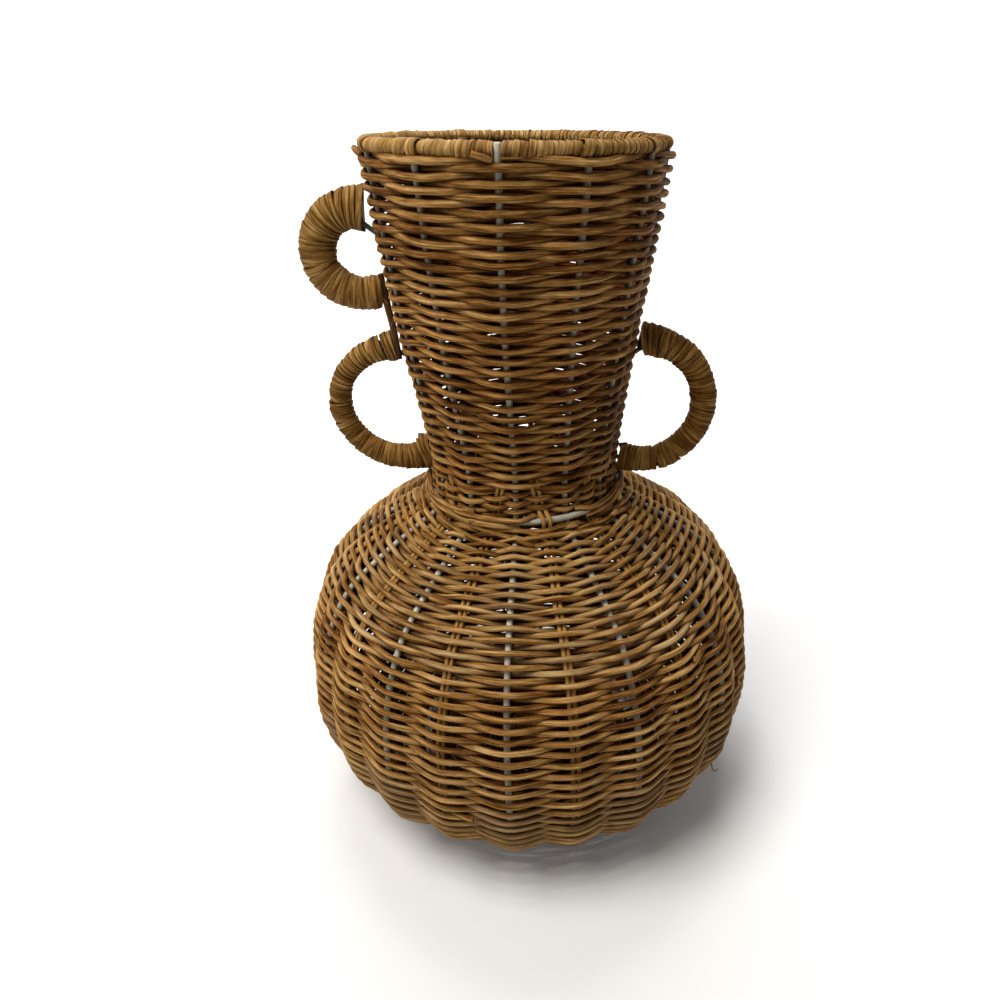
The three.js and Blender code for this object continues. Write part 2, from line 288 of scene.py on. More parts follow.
# ------------------------------------------------------------------ materials
def nodes_of(name):
    mat = bpy.data.materials.new(name)
    mat.use_nodes = True
    nt = mat.node_tree
    nt.nodes.clear()
    out = nt.nodes.new("ShaderNodeOutputMaterial")
    bsdf = nt.nodes.new("ShaderNodeBsdfPrincipled")
    nt.links.new(bsdf.outputs["BSDF"], out.inputs["Surface"])
    return mat, nt, bsdf


def math_node(nt, op, a, b=None, clamp=False):
    n = nt.nodes.new("ShaderNodeMath")
    n.operation = op
    n.use_clamp = clamp
    for i, x in enumerate((a, b)):
        if x is None:
            continue
        if isinstance(x, (int, float)):
            n.inputs[i].default_value = x
        else:
            nt.links.new(x, n.inputs[i])
    return n.outputs[0]


def mapping(nt, vec, scale, loc=(0, 0, 0)):
    n = nt.nodes.new("ShaderNodeMapping")
    n.inputs["Scale"].default_value = scale
    n.inputs["Location"].default_value = loc
    nt.links.new(vec, n.inputs["Vector"])
    return n.outputs["Vector"]


def noise(nt, vec, scale=1.0, detail=3.0, rough=0.55, distort=0.0):
    n = nt.nodes.new("ShaderNodeTexNoise")
    n.inputs["Scale"].default_value = scale
    n.inputs["Detail"].default_value = detail
    n.inputs["Roughness"].default_value = rough
    n.inputs["Distortion"].default_value = distort
    nt.links.new(vec, n.inputs["Vector"])
    return n.outputs["Fac"]


def ramp(nt, fac, stops):
    n = nt.nodes.new("ShaderNodeValToRGB")
    e = n.color_ramp.elements
    while len(e) < len(stops):
        e.new(0.5)
    for el, (pos, col) in zip(e, stops):
        el.position = pos
        el.color = (*col, 1.0)
    nt.links.new(fac, n.inputs["Fac"])
    return n.outputs["Color"]


def mix_rgb(nt, kind, fac, a, b):
    n = nt.nodes.new("ShaderNodeMix")
    n.data_type = "RGBA"
    n.blend_type = kind
    n.clamp_factor = True
    for sock, x in ((n.inputs[0], fac), (n.inputs[6], a), (n.inputs[7], b)):
        if isinstance(x, (int, float)):
            sock.default_value = x
        elif isinstance(x, tuple):
            sock.default_value = (*x, 1.0)
        else:
            nt.links.new(x, sock)
    return n.outputs[2]


def strand_material(name, stops, fibre=(0.055, 2.6), rough=(0.46, 0.66), bump=0.35, spec=0.42, seed=0.0, contrast=0.34, lines=0.6):
    """Rattan: long fibres along the strand, drifting tone, darker flecks, and painted shade where the strand dives in
    and on its far side.
    """
    mat, nt, bsdf = nodes_of(name)
    uv = nt.nodes.new("ShaderNodeUVMap")
    uv.uv_map = "Strand"
    att = nt.nodes.new("ShaderNodeAttribute")
    att.attribute_name = "Tint"
    sep = nt.nodes.new("ShaderNodeSeparateColor")
    nt.links.new(att.outputs["Color"], sep.inputs["Color"])
    tone, hue, painted_shade = sep.outputs[0], sep.outputs[1], sep.outputs[2]
    shift = nt.nodes.new("ShaderNodeCombineXYZ")
    nt.links.new(math_node(nt, "MULTIPLY", hue, 91.0), shift.inputs[2])
    add = nt.nodes.new("ShaderNodeVectorMath")
    add.operation = "ADD"
    nt.links.new(uv.outputs["UV"], add.inputs[0])
    nt.links.new(shift.outputs[0], add.inputs[1])
    vec = add.outputs[0]
    fib = noise(nt, mapping(nt, vec, (fibre[0], fibre[1], 1.0), (seed, 0, 0)), 1.0, 5.0, 0.62)
    fine = noise(nt, mapping(nt, vec, (fibre[0] * 2.6, fibre[1] * 3.1, 1.0), (seed, 5, 0)), 1.0, 2.0, 0.5)
    drift = noise(nt, mapping(nt, vec, (0.022, 0.05, 1.0), (seed, 9, 0)), 1.0, 2.0, 0.5)
    blotch = noise(nt, mapping(nt, vec, (0.11, 0.34, 1.0), (seed, 13, 0)), 1.0, 3.0, 0.6)
    fleck = noise(nt, mapping(nt, vec, (0.16, 1.1, 1.0), (seed, 17, 0)), 1.0, 2.0, 0.5)
    crack = noise(nt, mapping(nt, vec, (0.034, 2.1, 1.0), (seed, 23, 0)), 1.0, 3.0, 0.6)
    rusty = noise(nt, mapping(nt, vec, (0.055, 0.24, 1.0), (seed, 29, 0)), 1.0, 2.0, 0.5)
    streak = noise(nt, mapping(nt, vec, (0.048, 1.05, 1.0), (seed, 37, 0)), 1.0, 3.0, 0.6)
    t = tone
    for tex, k in ((fib, 1.7), (drift, 0.95), (blotch, 1.15), (fine, 1.1), (streak, 1.55)):
        t = math_node(nt, "ADD", t, math_node(nt, "MULTIPLY", math_node(nt, "SUBTRACT", tex, 0.5), contrast * k))
    t = math_node(nt, "ADD", t, 0.0, True)
    col = ramp(nt, t, stops)
    # redder or greyer strands
    red = mix_rgb(nt, "MULTIPLY", 1.0, col, (1.0, 0.80, 0.62))
    col = mix_rgb(nt, "MIX", math_node(nt, "MULTIPLY", math_node(nt, "SUBTRACT", hue, 0.55, True), 1.5, True), col, red)
    grey = mix_rgb(nt, "MIX", 0.5, col, (0.20, 0.155, 0.10))
    col = mix_rgb(nt, "MIX", math_node(nt, "MULTIPLY", math_node(nt, "SUBTRACT", 0.28, hue, True), 2.4, True), col, grey)
    # rusty runs, dark flecks and long dark lines, then the painted shade
    ru = math_node(nt, "MULTIPLY", math_node(nt, "SUBTRACT", rusty, 0.57, True), 5.0, True)
    col = mix_rgb(nt, "MULTIPLY", math_node(nt, "MULTIPLY", ru, 0.75), col, (1.02, 0.74, 0.50))
    fl = math_node(nt, "MULTIPLY", math_node(nt, "SUBTRACT", fleck, 0.60, True), 5.0, True)
    col = mix_rgb(nt, "MULTIPLY", math_node(nt, "MULTIPLY", fl, 0.7), col, (0.42, 0.28, 0.14))
    cr = math_node(nt, "MULTIPLY", math_node(nt, "SUBTRACT", crack, 0.575, True), 9.0, True)
    col = mix_rgb(nt, "MULTIPLY", math_node(nt, "MULTIPLY", cr, lines), col, (0.42, 0.29, 0.16))
    # painted shade: the Tint's third channel darkens the colour towards a deep brown
    col = mix_rgb(nt, "MULTIPLY", painted_shade, col, (0.29, 0.155, 0.055))
    nt.links.new(col, bsdf.inputs["Base Color"])
    ro = math_node(nt, "ADD", rough[0], math_node(nt, "MULTIPLY", fib, rough[1] - rough[0]))
    nt.links.new(ro, bsdf.inputs["Roughness"])
    bsdf.inputs["Specular IOR Level"].default_value = spec
    h = math_node(nt, "ADD", fib, math_node(nt, "MULTIPLY", fine, 0.6))
    bp = nt.nodes.new("ShaderNodeBump")
    bp.inputs["Strength"].default_value = bump
    bp.inputs["Distance"].default_value = 0.00030
    nt.links.new(h, bp.inputs["Height"])
    nt.links.new(bp.outputs["Normal"], bsdf.inputs["Normal"])
    return mat


def wire_material(name, shade=1.0):
    """Dull pale coating on steel wire: mottled, with worn and stained spots."""
    mat, nt, bsdf = nodes_of(name)
    uv = nt.nodes.new("ShaderNodeUVMap")
    uv.uv_map = "Strand"
    v = uv.outputs["UV"]
    a = noise(nt, mapping(nt, v, (0.11, 0.3, 1.0)), 1.0, 4.0, 0.6)
    b = noise(nt, mapping(nt, v, (0.5, 0.9, 1.0), (3, 1, 0)), 1.0, 3.0, 0.6)
    c = noise(nt, mapping(nt, v, (0.045, 0.12, 1.0), (8, 2, 0)), 1.0, 3.0, 0.6)
    col = ramp(nt, math_node(nt, "ADD", math_node(nt, "MULTIPLY", a, 0.7), math_node(nt, "MULTIPLY", b, 0.3)),
               [(x, tuple(v * shade for v in c)) for x, c in
                ((0.25, (0.250, 0.222, 0.160)), (0.5, (0.450, 0.412, 0.315)), (0.75, (0.620, 0.580, 0.465)))])
    stain = math_node(nt, "MULTIPLY", math_node(nt, "SUBTRACT", c, 0.57, True), 5.0, True)
    col = mix_rgb(nt, "MIX", math_node(nt, "MULTIPLY", stain, 0.55), col, (0.12, 0.075, 0.035))
    # painted shade: the Tint's third channel darkens the coating towards a dark brown
    att = nt.nodes.new("ShaderNodeAttribute")
    att.attribute_name = "Tint"
    sep = nt.nodes.new("ShaderNodeSeparateColor")
    nt.links.new(att.outputs["Color"], sep.inputs["Color"])
    col = mix_rgb(nt, "MULTIPLY", sep.outputs[2], col, (0.27, 0.215, 0.155))
    nt.links.new(col, bsdf.inputs["Base Color"])
    nt.links.new(math_node(nt, "ADD", 0.38, math_node(nt, "MULTIPLY", b, 0.3)), bsdf.inputs["Roughness"])
    bsdf.inputs["Metallic"].default_value = 0.0
    bsdf.inputs["Specular IOR Level"].default_value = 0.5
    bp = nt.nodes.new("ShaderNodeBump")
    bp.inputs["Strength"].default_value = 0.25
    bp.inputs["Distance"].default_value = 0.0002
    nt.links.new(b, bp.inputs["Height"])
    nt.links.new(bp.outputs["Normal"], bsdf.inputs["Normal"])
    return mat


CORE = strand_material("rattan_core", [
    (0.05, (0.040, 0.0130, 0.0016)), (0.30, (0.121, 0.0510, 0.0085)), (0.52, (0.237, 0.1205, 0.0320)),
    (0.74, (0.372, 0.221, 0.0765)), (0.95, (0.515, 0.343, 0.143))], fibre=(0.045, 1.05), spec=0.055, rough=(0.55, 0.75), bump=0.6, contrast=0.66)
STAKE = strand_material("rattan_stake", [
    (0.05, (0.055, 0.019, 0.003)), (0.35, (0.170, 0.075, 0.014)), (0.6, (0.310, 0.158, 0.040)),
    (0.95, (0.490, 0.285, 0.092))], fibre=(0.045, 1.25), seed=31.0, spec=0.055, rough=(0.55, 0.75), contrast=0.5)
PEEL = strand_material("rattan_peel", [
    (0.05, (0.040, 0.0145, 0.0011)), (0.30, (0.113, 0.0505, 0.0068)), (0.52, (0.213, 0.1125, 0.0262)),
    (0.74, (0.340, 0.207, 0.070)), (0.95, (0.495, 0.346, 0.148))],
    fibre=(0.05, 1.5), rough=(0.48, 0.68), bump=0.8, spec=0.06, seed=57.0, contrast=0.62, lines=0.75)
WIRE = wire_material("frame_wire")
# the handles' wire: the frame wire's coating at a fifth of its brightness
WIRE_DIM = wire_material("handle_wire", 0.20)
# near-black rattan, for the handles' padding and the strut
DARK = strand_material("rattan_dark", [
    (0.05, (0.010, 0.005, 0.0015)), (0.5, (0.045, 0.020, 0.006)), (0.95, (0.13, 0.062, 0.019))], seed=77.0, spec=0.12)


# ------------------------------------------------------------------ smooth random fields
def waves(theta, count, amp, lo, hi, gen):
    """A smooth periodic random function of the bearing."""
    out = np.zeros_like(theta, float)
    for _ in range(count):
        k = int(gen.integers(lo, hi + 1))
        out += gen.normal(0, 1) * np.sin(np.radians(theta) * k + gen.uniform(0, 2 * np.pi))
    return out * amp / math.sqrt(count)


_field = [(int(rng.integers(1, 6)), rng.uniform(0.012, 0.05), rng.uniform(0, 2 * np.pi), rng.uniform(0, 2 * np.pi), rng.normal()) for _ in range(9)]


def wander(theta, s):
    """Rows drift up and down together, so neighbours keep apart."""
    out = 0.0
    for k, q, p1, p2, a in _field:
        out = out + a * np.sin(np.radians(theta) * k + p1) * np.sin(s * q + p2)
    return out * 0.42


# ------------------------------------------------------------------ frame wires
def out_dir(theta, nr, nz):
    t = np.radians(theta)
    return np.stack([nr * np.sin(t), -nr * np.cos(t), nz * np.ones_like(t)], -1)


rib_s = np.r_[np.arange(0.2, WALL_LEN, 3.0), WALL_LEN - 0.2]
for k in range(12):
    th = RIB_FIRST + RIB_STEP * k
    g = np.random.default_rng(900 + k)
    r, z, nr, nz = wall(rib_s)
    wob = np.interp(rib_s, np.linspace(0, WALL_LEN, 14), g.normal(0, 0.22, 14))
    thv = th + np.degrees(wob / np.maximum(r, 10))
    T = Strands()
    # painted shade along each rib: dark on the neck and at the foot, easing to none on the upper belly, light on the
    # front rib's top
    rib_shade = np.interp(rib_s, [0, 6, 14, 120, 190, 215, 330, 380], [0.10 if k == 0 else 0.66, 0.20 if k == 0 else 0.66, 0.62, 0.58, 0.40, 0.0, 0.10, 0.6])
    T.tube(at(thv, r, z), WIRE_R, out_dir(thv, nr, nz), sides=12, u0=k * 517.0, far_side_shade=0.95,
           tint=np.stack([np.full_like(rib_s, 0.5), np.full_like(rib_s, 0.5), rib_shade], -1))
    piece(T, f"rib_wire_{k + 1:02d}", WIRE, "wire", f"wire_rib_{k + 1:02d}")


def wire_ring(name, node, r, z, seed):
    """A closed ring of frame wire, butt-welded: one turn whose ends meet."""
    g = np.random.default_rng(seed)
    th = np.linspace(0, 360, 181) + g.uniform(100, 200)
    rr = r + waves(th, 4, 0.12, 2, 6, g)
    zz = z + waves(th, 4, 0.15, 1, 5, g)
    T = Strands()
    T.tube(at(th, rr, zz), WIRE_R, np.array([0, 0, 1.0]), sides=12, u0=seed * 370.0, tip=(1.0, 1.0), tint=(0.5, 0.5, 0.22), far_side_shade=0.6)
    piece(T, name, WIRE, "wire", node)


wire_ring("rim_wire", "rim_ring", 63.3, 348.5, 3)
wire_ring("shoulder_wire", "shoulder_ring", 50.05, 183.25, 5)
wire_ring("base_wire", "base_ring", 66.9, 9.35, 7)

# ------------------------------------------------------------------ rattan stakes, in pairs
S_RING = s_at_z(183.25)
S_STAKE_TOP = s_at_z(201.5)
S_STAKE_END = s_at_r_base(71.6)
# how far each pair leans aside below its top, in degrees: (arc length from the shoulder ring, lean)
_g = np.random.default_rng(1490)
LEAN = {k: [(-18, float(_g.normal(0, 3.0))), (16, 0.0)] for k in range(12)}
LEAN[0] = [(-18, -4.2), (-7, -1.0), (0, 1.7), (8, 2.2), (20, 1.8), (45, 0.0)]
LEAN[11] = [(-18, 6.0), (-6, 3.2), (14, 0.0)]
LEAN[1] = [(-18, 2.0), (20, 0.0)]
OUTSIDE_RING = (0,)      # pairs that pass over the shoulder ring on the outside


def pair_bearing(k, s):
    x, y = zip(*LEAN[k])
    return RIB_FIRST + RIB_STEP * (k + 0.5) + np.interp(np.asarray(s) - S_RING, x, y)


for k in range(12):
    g = np.random.default_rng(1500 + k)
    for tag, side in (("a", 1), ("b", -1)):
        s = np.r_[np.arange(S_STAKE_TOP + g.uniform(-3.0, 2.0), S_STAKE_END, 2.4), S_STAKE_END]
        r, z, nr, nz = wall(s)
        wob = np.interp(s, np.linspace(s[0], s[-1], 18), g.normal(0, 0.20, 18))
        off = np.interp(s, np.linspace(s[0], s[-1], 40), g.normal(0, 0.14, 40))
        if k in OUTSIDE_RING:
            off = off + 5.8 * np.exp(-((s - S_RING) / 4.6) ** 2)
        half = STAKE_PITCH * 0.5 * (1 - 0.14 * g.uniform(0, 1))
        thv = pair_bearing(k, s) + np.degrees((side * half + wob) / np.maximum(r, 10))
        T = Strands()
        # painted shade: each stake darker where it passes the shoulder ring, in the crease
        tone = g.uniform(0.50, 0.78) - 0.26 * np.exp(-((s - S_RING + 3) / 13.0) ** 2)
        T.tube(at(thv, r + nr * off, z + nz * off), STAKE_R * g.uniform(0.95, 1.08), out_dir(thv, nr, nz), sides=10,
               tint=np.stack([tone, np.full_like(s, g.uniform(0.35, 0.6)), 0 * s], -1), u0=g.uniform(0, 9000), far_side_shade=0.95)
        piece(T, f"stake_{k + 1:02d}{tag}", STAKE, "stake", f"rattan_stake_{k + 1:02d}{tag}")


# ------------------------------------------------------------------ the weave
def column_offset(theta, cols, amp, parity):
    """Distance out of (+) or into (-) the wall's middle: over one, under one, eased between columns.
    cols: bearings of the columns, one turn, rising; amp: half the swing at each."""
    n = len(cols)
    edges = np.r_[np.asarray(cols) - cols[0], 360.0]
    x = (theta - cols[0]) % 360.0
    i = np.clip(np.searchsorted(edges, x, side="right") - 1, 0, n - 1)
    u = (x - edges[i]) / (edges[i + 1] - edges[i])
    sgn = np.where((i + parity) % 2 == 0, 1.0, -1.0)
    a0, a1 = np.asarray(amp)[i] * sgn, np.asarray(amp)[(i + 1) % n] * -sgn
    tight = 0.93
    w = 0.5 - 0.5 * np.arcsin(tight * np.cos(np.pi * u)) / math.asin(tight)
    return a0 + (a1 - a0) * w


def columns(n, s):
    if n == 12:
        return [RIB_FIRST + 30.0 * k for k in range(12)]
    out = []
    for k in range(12):
        out += [RIB_FIRST + 30.0 * k, float(pair_bearing(k, s))]
    return out


def weaver_tones(rows, gen, lo=3, hi=7, spread=0.075):
    """Two weavers chase each other round; each lasts a few rounds before the next is laid in.
    The light and the redder stretches follow the vase's height."""
    count = len(rows)
    tone, hue = np.zeros(count), np.zeros(count)
    for par in (0, 1):
        j = par
        while j < count:
            dt, dh = np.clip(gen.normal(0, spread), -0.14, 0.085), gen.normal(0, 0.16)
            for _ in range(int(gen.integers(lo, hi))):
                if j < count:
                    tone[j] = np.clip(np.interp(rows[j], *TONE) + dt + gen.normal(0, 0.04), 0.16, 0.88)
                    hue[j] = np.clip(np.interp(rows[j], *HUE) + dh + gen.normal(0, 0.04), 0.02, 0.98)
                    j += 2
    return tone, hue


def lay(T, th, s, off, radius, tone, hue, gen, sides=10, tip=None, recess_shade=0.30, snug=0.0):
    """One length of core laid on the wall: bearing, arc length and distance out along its length;
    snug: how much fuller it lies at the back."""
    away = np.abs((th + 180.0) % 360.0 - 180.0)
    rad = radius * (1 + waves(th, 4, 0.035, 2, 9, gen) + waves(th, 5, 0.030, 12, 45, gen)) * (1 + snug * np.clip((away - 85.0) / 40.0, 0, 1))
    s = s + waves(th, 6, 0.085, 18, 45, gen)
    off = off + waves(th, 6, 0.06, 18, 45, gen)
    r, z, nr, nz = wall(s)
    # painted shade: a base amount, more the further in the core lies
    painted_shade = np.clip(recess_shade - off / 6.5, 0.0, 0.85) ** 1.2
    tint = np.stack([np.clip(tone + waves(th, 4, 0.05, 1, 6, gen), 0.05, 0.95), np.full_like(th, hue), painted_shade], -1)
    T.tube(at(th, r + nr * off, z + nz * off), rad, out_dir(th, nr, nz), sides=sides, tint=tint,
           u0=float(gen.uniform(0, 20000)), squash=1 + gen.normal(0, 0.03), tip=tip, far_side_shade=0.95)


def between_pts(x, xs, ys):
    """A smooth line through a few points (cubic Hermite, slopes from np.gradient)."""
    xs, ys = np.asarray(xs, float), np.asarray(ys, float)
    m = np.gradient(ys, xs)
    i = np.clip(np.searchsorted(xs, x, side="right") - 1, 0, len(xs) - 2)
    h = xs[i + 1] - xs[i]
    u = (x - xs[i]) / h
    return ((2 * u**3 - 3 * u**2 + 1) * ys[i] + (u**3 - 2 * u**2 + u) * h * m[i]
            + (3 * u**2 - 2 * u**3) * ys[i + 1] + (u**3 - u**2) * h * m[i + 1])


def weave_row(T, s0, radius, n, parity, gen, tone, hue, per_bay, sides, proud):
    cols = columns(n, s0)
    step = 360.0 / n
    start = cols[int(gen.choice([i for i in range(n) if (i + parity) % 2 == 1]))]
    lap = step * gen.uniform(0.25, 0.5)
    th = np.arange(start - lap, start + 360.0 + lap + 1e-6, step / per_bay)
    amp = [((WIRE_R if (n == 12 or i % 2 == 0) else STAKE_R) + radius * 0.97) * gen.uniform(0.97, 1.07) for i in range(n)]
    off = column_offset(th, cols, amp, parity)
    off = np.where(off > 0, off * proud, off * min(proud, 1.0))
    s = s0 + wander(th, s0) - wander(RIB_FIRST, s0) + waves(th, 5, 0.20, 3, 14, gen)
    # tails tucked behind the stake, one above and one below
    a = np.clip(1 - (th - th[0]) / (1.6 * lap), 0, 1)
    b = np.clip(1 - (th[-1] - th) / (1.6 * lap), 0, 1)
    lay(T, th, s + radius * 0.85 * (a - b), off - 0.65 * radius * (a + b), radius, tone, hue, gen, sides, snug=float(np.interp(s0, [150, 260, 300, 345, 380, 400], [0.08, 0.14, 0.26, 0.27, 0.26, 0.17])))


def weave(prefix, node, rows, n, gen, radius, per_rows, per_bay, sides, proud=1.0):
    """rows: (arc length, parity); parity 0 goes over the front rib."""
    tone, hue = weaver_tones([r[0] for r in rows], gen)
    for p, i0 in enumerate(range(0, len(rows), per_rows)):
        T = Strands()
        for j in range(i0, min(i0 + per_rows, len(rows))):
            s0, parity = rows[j]
            weave_row(T, s0, radius(s0) * gen.uniform(0.93, 1.07), n, parity, gen, tone[j], hue[j], per_bay, sides, proud)
        piece(T, f"{prefix}_{p + 1:02d}", CORE, "weave", node)


def with_between(over, gen):
    """The rows that go over the front rib, and between each two of them one that goes under it."""
    rows = []
    for i, s0 in enumerate(over):
        rows.append((s0, 0))
        if i + 1 < len(over):
            rows.append((0.5 * (s0 + over[i + 1]) + float(np.clip(gen.normal(0, 0.22), -0.4, 0.4)), 1))
    return rows


def filled(s0, s1, pitch, gen):
    """Heights of rows that go over the front rib where they can't be seen: even spacing, a little uneven."""
    n = max(1, int(round((s1 - s0) / pitch)))
    gaps = np.clip(gen.normal(1, 0.07, n), 0.8, 1.25)
    return list(s0 + np.cumsum(gaps) / gaps.sum() * (s1 - s0))


# where the weavers pass over the front rib, by arc length from the rib's top
OVER_NECK = [8.5, 14.2, 19.0, 24.6, 29.8, 34.8, 40.2, 44.4, 50.0, 55.4, 60.2, 65.8, 70.8, 75.8, 81.0, 86.0, 91.0, 97.0, 102.3,
             109.0, 114.3, 119.6, 125.0, 130.4, 135.4, 140.4, 145.4, 150.6]
OVER_NECK_FOOT = [155.5, 160.6, 165.1]
OVER_SHOULDER = [175.6, 181.2, 186.5, 191.0, 195.5, 200.2, 205.7, 210.5, 215.6, 221.1, 226.6, 232.0, 237.4, 243.2]
OVER_BELLY = [249.2, 255.0, 260.6, 265.7, 270.9, 276.1, 281.6, 287.5, 293.5, 299.2, 304.9, 310.8]
TONE = ([0, 25, 50, 60, 110, 150, 172, 185, 215, 245, 258, 266, 280, 300, 340, 400, 470],
        [0.44, 0.39, 0.36, 0.42, 0.42, 0.40, 0.41, 0.50, 0.54, 0.56, 0.53, 0.46, 0.48, 0.52, 0.54, 0.50, 0.46])
HUE = ([0, 40, 60, 150, 172, 190, 245, 262, 275, 300, 345, 470], [0.60, 0.68, 0.58, 0.62, 0.55, 0.34, 0.40, 0.62, 0.52, 0.36, 0.42, 0.45])

gen = np.random.default_rng(4242)
S_FT1 = s_at_r_base(70.4)
neck_rows = [(5.7, 1)] + with_between(OVER_NECK, gen) + [(153.2, 1)]
weave("neck_weavers", "neck_weave", neck_rows, 12, gen, lambda s: float(np.interp(s, [8, 60, 110], [1.60, 1.54, 1.50])), 6, 16, 10, 0.84)
foot_neck = with_between(OVER_NECK_FOOT, gen) + [(167.3, 1)]
weave("neck_foot_weavers", "neck_weave", foot_neck, 24, gen, lambda s: 1.42, 6, 10, 10, 0.92)
shoulder_rows = with_between(OVER_SHOULDER, gen) + [(246.2, 1)]
weave("shoulder_weavers", "shoulder_weave", shoulder_rows, 24, gen, lambda s: 1.41, 5, 12, 10, 1.16)
belly_rows = with_between(OVER_BELLY, gen) + [(313.6, 1)]
weave("belly_weavers", "belly_weave", belly_rows, 24, gen, lambda s: 1.42, 5, 12, 10, 1.28)
OVER_FOOT = [316.4] + filled(316.4, S_FT1, 5.35, gen)
weave("foot_weavers", "foot_weave", with_between(OVER_FOOT, gen), 24, gen, lambda s: 1.42, 5, 12, 10, 1.28)
OVER_BASE = [s_at_r_base(63.0)] + filled(s_at_r_base(63.0), WALL_LEN - 2.5, 5.5, gen)
weave("base_weavers", "base_weave", with_between(OVER_BASE, gen), 12, gen, lambda s: 1.38, 9, 8, 8, 0.9)
S_NECK0 = 8.5

# the middle of the base: a tight coil that closes the last gap
T = Strands()
a = np.linspace(0, 5.2 * 360, 160)
T.tube(at(a, 1.2 + 2.62 * a / 360.0, 4.2 + waves(a, 3, 0.12, 1, 3, gen)), 1.32, np.array([0, 0, 1.0]), sides=8,
       tint=(0.46, 0.45, 0.15), u0=50.0)
piece(T, "base_coil", CORE, "weave", "base_weave")

# the crease: lengths of core lie over the shoulder ring except at the front right, and a few cut ends show
T = Strands()
g = np.random.default_rng(88)


def ring_cover(t0, t1, r, z, radius, tone, hue, dive, beat):
    """A length of core on the outside of the shoulder ring; its ends dive in under the neck's rows."""
    th = np.arange(t0, t1, 1.3)
    e = np.clip(np.minimum(th - t0, t1 - th) / 11.0, 0, 1)
    e = e * e * (3 - 2 * e)
    away = np.clip((np.abs((th + 180) % 360 - 180) - 25) / 40, 0, 1)
    swing = np.cos(np.radians(th - RIB_FIRST) * 12) * beat
    rr = r - 0.8 * away + 0.35 * swing + waves(th, 5, 0.22, 3, 12, g) - (1 - e) * dive[0]
    zz = z + 0.75 * away + 0.28 * swing + waves(th, 5, 0.26, 3, 12, g) + (1 - e) * dive[1]
    tint = np.stack([tone + waves(th, 4, 0.05, 1, 6, g), np.full_like(th, hue), np.full_like(th, 0.12)], -1)
    T.tube(at(th, rr, zz), radius * (1 + waves(th, 5, 0.04, 5, 30, g)), out_dir(th, np.full_like(th, 0.8), 0.6), sides=10, tint=tint,
           u0=float(g.uniform(0, 9000)), far_side_shade=0.75)


ring_cover(29.5, 120.0, 52.3, 185.05, 1.40, 0.42, 0.50, (3.0, 1.2), 1)
ring_cover(98.0, 240.0, 52.3, 185.05, 1.40, 0.48, 0.42, (3.0, 1.2), 1)
ring_cover(218.0, 331.0, 52.3, 185.05, 1.42, 0.43, 0.55, (3.0, 1.2), 1)
ring_cover(308.0, 366.5, 52.35, 185.0, 1.42, 0.45, 0.46, (3.0, 1.2), 1)
ring_cover(36.0, 168.0, 53.15, 182.3, 1.38, 0.48, 0.42, (2.4, -1.0), -1)
ring_cover(146.0, 296.0, 53.15, 182.3, 1.38, 0.42, 0.48, (2.4, -1.0), -1)
ring_cover(273.0, 357.0, 53.2, 182.25, 1.40, 0.43, 0.52, (2.4, -1.0), -1)
for s0, off0 in ((170.6, -2.5), (173.2, -2.3), (175.9, -2.5), (178.6, -2.6)):      # a few rounds lie inside, behind the ring
    th = np.arange(40.0, 412.0, 1.5)
    lay(T, th, s0 + waves(th, 5, 0.25, 3, 12, g), off0 + waves(th, 5, 0.2, 6, 18, g), 1.38, 0.42, 0.5, g)
for th0, ds, span, rad, tone, hue in ((-31.0, 3.4, 13.0, 1.40, 0.50, 0.42), (62.0, 5.6, 12.0, 1.35, 0.48, 0.5), (118.0, 4.4, 14.0, 1.4, 0.45, 0.4),
                                      (205.0, 5.0, 15.0, 1.4, 0.5, 0.5), (287.0, 4.0, 12.0, 1.35, 0.44, 0.45)):
    th = np.linspace(th0, th0 + span, 16)
    u = np.linspace(0, 1, 16)
    lay(T, th, S_RING + ds - 2.0 * u, 5.9 - 2.6 * u ** 1.5, rad, tone, hue, g, recess_shade=0.5)
# the shoulder's first lengths come in slanting from the crease, over the rows below it: bearing, drop below the ring, tone, hue
SLANTS = (
    ((-63.0, -53.5, -35.0, -20.0, -1.5, 5.0), (3.8, 4.2, 5.4, 8.4, 13.0, 14.8), 0.43, 0.44),
    ((-61.0, -53.5, -37.5, -24.0, -9.5, -2.0), (9.2, 10.0, 12.2, 14.6, 15.8, 16.6), 0.43, 0.48),
    ((-5.0, -2.0, 8.0, 21.0, 29.5, 36.0), (6.2, 6.5, 7.2, 5.9, 6.8, 9.2), 0.37, 0.46),
    ((-6.0, 1.0, 15.0, 30.0, 40.5, 47.0), (12.2, 11.4, 11.0, 13.2, 14.6, 16.0), 0.40, 0.50),
    ((-25.0, -20.0, -10.5, 0.5, 7.5, 13.0), (8.4, 7.2, 6.0, 7.4, 11.4, 14.0), 0.40, 0.48),
    ((27.0, 31.5, 43.0, 58.5, 68.0), (9.4, 10.6, 11.8, 12.8, 15.0), 0.40, 0.52),
)
for turn in (0.0, 112.0, 231.0):
    for knots, drop, tone, hue in SLANTS:
        th = np.arange(knots[0], knots[-1], 1.2)
        u = np.linspace(0, 1, len(th))
        e = np.clip(np.minimum(u, 1 - u) / 0.17, 0, 1)
        e = e * e * (3 - 2 * e)
        lay(T, th + turn, S_RING + between_pts(th, knots, drop) + waves(th, 5, 0.18, 3, 12, g),
            0.2 + 3.1 * e + waves(th, 5, 0.22, 5, 14, g), 1.36 * g.uniform(0.95, 1.04), tone, hue, g, recess_shade=0.3)
piece(T, "crease_weavers", CORE, "weave", "shoulder_weave")

